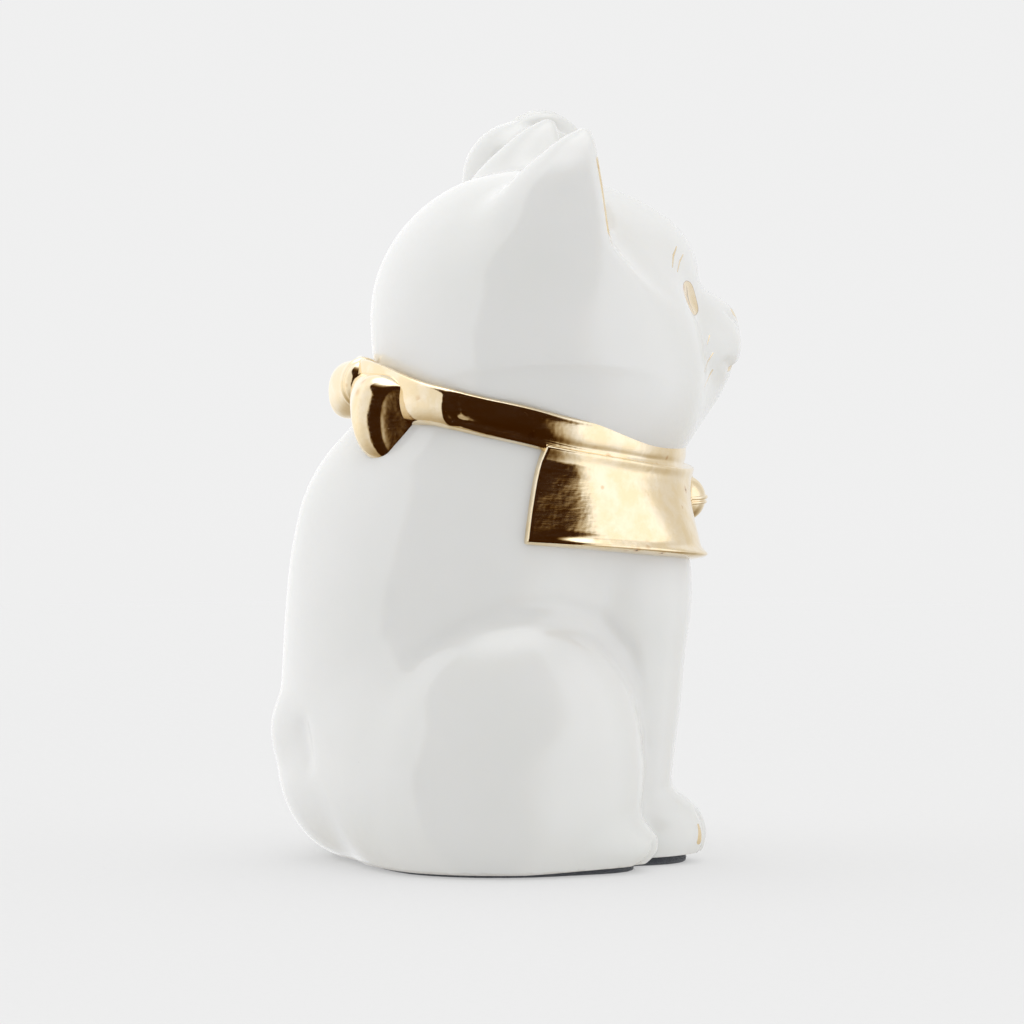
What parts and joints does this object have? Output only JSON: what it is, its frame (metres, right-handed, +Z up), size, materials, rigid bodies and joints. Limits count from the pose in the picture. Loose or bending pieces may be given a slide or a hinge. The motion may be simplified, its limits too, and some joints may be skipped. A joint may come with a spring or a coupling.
{
  "type": "beckoning cat figurine",
  "caption": "Sitting white glazed porcelain cat with one raised paw and a gilded ribbon collar, bib, bell and bow, on a thin felt pad.",
  "frame": {"origin": "middle of the felt pad's underside, on the plane the figurine rests on", "axes": "the cat faces -Y, +Z is up, its right side is -X and its raised left paw is +X"},
  "size_m": [0.0578, 0.0587, 0.092],
  "materials": {
    "white_glaze": "glossy clear glaze over white porcelain",
    "gold_lustre": "bright gold lustre fired over glazed porcelain relief",
    "felt": "dark charcoal felt"
  },
  "bodies": {
    "root": {"body_casting": "white_glaze", "head_casting": "white_glaze", "raised_arm": "white_glaze", "tail": "white_glaze", "collar_band": "gold_lustre", "bib": "gold_lustre", "bell": "gold_lustre", "bow_knot": "gold_lustre", "bow_loop_right": "gold_lustre", "bow_loop_left": "gold_lustre", "felt_pad": "felt"}
  },
  "joints": []
}
